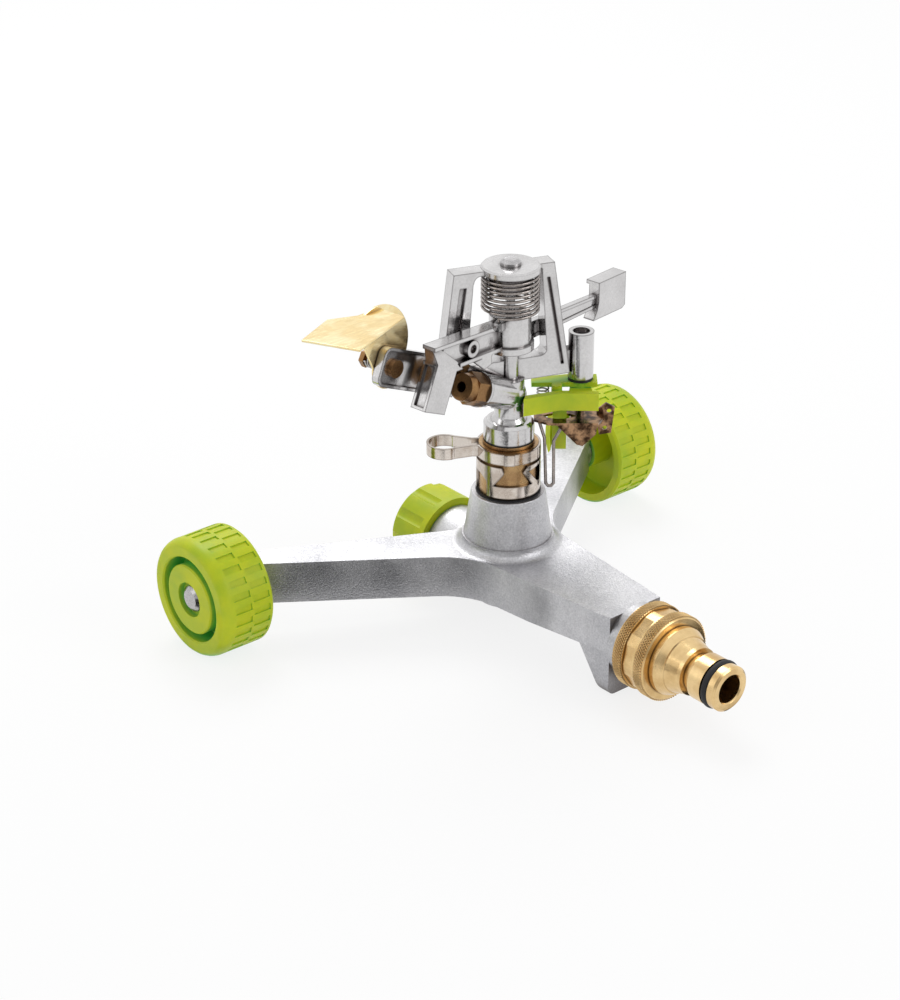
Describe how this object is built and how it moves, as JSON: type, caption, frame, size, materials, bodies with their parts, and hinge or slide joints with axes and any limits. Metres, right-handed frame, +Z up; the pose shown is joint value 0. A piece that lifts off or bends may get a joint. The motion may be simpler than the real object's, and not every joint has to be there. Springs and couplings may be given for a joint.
{
  "type": "sector sprinkler",
  "caption": "Impact lawn sprinkler with adjustable sector stops on a low wheeled cast base, fed by a push-on hose connector.",
  "frame": {"origin": "middle of the part's bounding box, on the floor that the wheels and the foot stand on", "axes": "+Z up, +X along the wheel axis, +Y from the hose inlet towards the wheels"},
  "size_m": [0.1978, 0.1744, 0.1314],
  "materials": {
    "cast_aluminium": "sand-blasted, matt",
    "chrome": "plated zinc casting, bright with a slight grain",
    "machined_brass": "turned, bright",
    "bearing_brass": "turned, dull",
    "gilt_sheet": "pressed sheet, satin",
    "copper_sheet": "pressed sheet, dark copper colour",
    "bright_strip": "bright rolled strip",
    "steel": "plain drawn steel",
    "green_plastic": "moulded, low gloss",
    "black_rubber": "matt",
    "white_nylon": "moulded"
  },
  "bodies": {
    "base": {"base_casting": "cast_aluminium", "cap_gasket": "black_rubber", "left_axle": "steel", "right_axle": "steel", "left_washer": "steel", "right_washer": "steel", "hose_gasket": "black_rubber", "inlet_filter": "steel", "hose_nipple": "machined_brass", "nipple_oring": "black_rubber", "bearing_tube": "bearing_brass", "boss_gasket": "black_rubber"},
    "left_wheel": {"left_wheel": "green_plastic"},
    "right_wheel": {"right_wheel": "green_plastic"},
    "end_cap": {"end_cap": "green_plastic"},
    "hose_nut": {"hose_nut": "machined_brass"},
    "upper_collar": {"upper_collar": "bright_strip"},
    "lower_collar": {"lower_collar": "bright_strip"},
    "head": {"head_body": "chrome", "bearing_stem": "bearing_brass", "thrust_washer": "white_nylon", "bearing_ring": "bearing_brass", "sleeve_washer": "black_rubber", "nozzle": "bearing_brass", "fulcrum_pin": "steel", "arm_washer": "white_nylon", "arm_spring": "steel", "diffuser_screw": "bearing_brass", "diffuser_spring": "steel", "diffuser_nut": "bearing_brass", "trip_pin": "steel", "trip_washer": "black_rubber"},
    "impact_arm": {"impact_arm": "chrome"},
    "diffuser": {"diffuser_paddle": "gilt_sheet"},
    "trip_hammer": {"trip_hammer": "copper_sheet", "trip_wire": "steel"},
    "trip_lever": {"trip_lever": "green_plastic", "trip_spring": "steel"}
  },
  "joints": [
    {"name": "left_wheel_spin", "type": "hinge", "parent": "base", "child": "left_wheel", "pos_m": [-0.089, 0.0664, 0.0208], "axis": [1, 0, 0], "continuous": true},
    {"name": "right_wheel_spin", "type": "hinge", "parent": "base", "child": "right_wheel", "pos_m": [0.089, 0.0664, 0.0208], "axis": [1, 0, 0], "continuous": true},
    {"name": "end_cap_turn", "type": "hinge", "parent": "base", "child": "end_cap", "pos_m": [0, 0.055, 0.018], "axis": [0, 1, 0], "range_deg": [0, 360]},
    {"name": "hose_nut_turn", "type": "hinge", "parent": "base", "child": "hose_nut", "pos_m": [0, -0.053, 0.018], "axis": [0, -1, 0], "range_deg": [0, 360]},
    {"name": "upper_collar_turn", "type": "hinge", "parent": "base", "child": "upper_collar", "pos_m": [0, 0.0187, 0.064], "axis": [0, 0, 1], "range_deg": [-155, 150]},
    {"name": "lower_collar_turn", "type": "hinge", "parent": "base", "child": "lower_collar", "pos_m": [0, 0.0187, 0.055], "axis": [0, 0, 1], "range_deg": [-64, 170]},
    {"name": "head_turn", "type": "hinge", "parent": "base", "child": "head", "pos_m": [0, 0.0187, 0.0672], "axis": [0, 0, 1], "range_deg": [-150, 62]},
    {"name": "impact_arm_swing", "type": "hinge", "parent": "head", "child": "impact_arm", "pos_m": [0, 0.0187, 0.106], "axis": [0, 0, 1], "range_deg": [0, 95], "stiffness_Nm_per_rad": 0.02, "springref_deg": -20.05},
    {"name": "diffuser_tilt", "type": "hinge", "parent": "head", "child": "diffuser", "pos_m": [-0.04737, 0.02477, 0.10523], "axis": [0.1392, -0.9903, 0], "range_deg": [-20, 35]},
    {"name": "trip_hammer_swing", "type": "hinge", "parent": "head", "child": "trip_hammer", "pos_m": [0.02393, 0.00999, 0.072], "axis": [0, 0, 1], "range_deg": [0, 20]},
    {"name": "trip_lever_swing", "type": "hinge", "parent": "head", "child": "trip_lever", "pos_m": [0.02393, 0.00999, 0.08], "axis": [0, 0, 1], "range_deg": [0, 20]}
  ],
  "couplings": [
    {"joint": "trip_lever_swing", "follows": "trip_hammer_swing", "ratio": 0.75}
  ]
}
